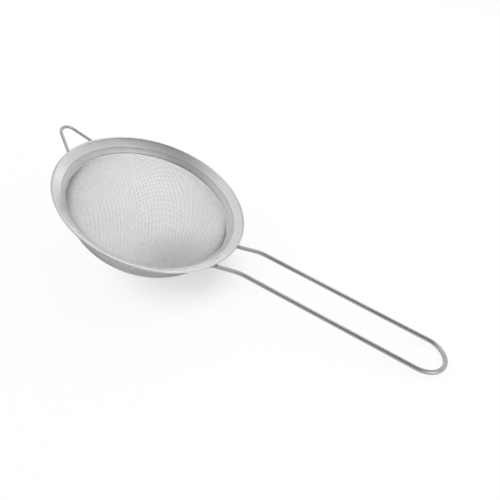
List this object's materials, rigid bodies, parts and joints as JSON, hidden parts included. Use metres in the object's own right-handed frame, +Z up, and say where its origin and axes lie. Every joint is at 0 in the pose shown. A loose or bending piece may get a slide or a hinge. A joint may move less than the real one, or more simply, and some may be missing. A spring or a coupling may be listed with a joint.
{
  "type": "wire mesh strainer",
  "caption": "Round kitchen strainer: woven steel mesh bowl in a flanged rim, with a long looped wire handle and a wire hook to rest on a pan.",
  "frame": {"origin": "on the worktop, under the centre of the strainer's box as it lies", "axes": "+Z up from the worktop, +X along the handle towards its loop end, +Y across the rim"},
  "size_m": [0.3035, 0.14, 0.0845],
  "materials": {
    "rim_steel": "bright rolled sheet, fine round brushing",
    "clamp_steel": "plain rolled sheet",
    "mesh_steel": "bright drawn wire, woven",
    "wire_steel": "bright drawn wire, polished",
    "weld_steel": "dull, as welded"
  },
  "bodies": {
    "root": {"rim_ring": "rim_steel", "mesh_clamp_ring": "clamp_steel", "mesh_bowl": "mesh_steel", "handle_wire": "wire_steel", "hook_wire": "wire_steel", "handle_weld_left": "weld_steel", "handle_weld_right": "weld_steel", "hook_weld_left": "weld_steel", "hook_weld_right": "weld_steel"}
  },
  "joints": []
}
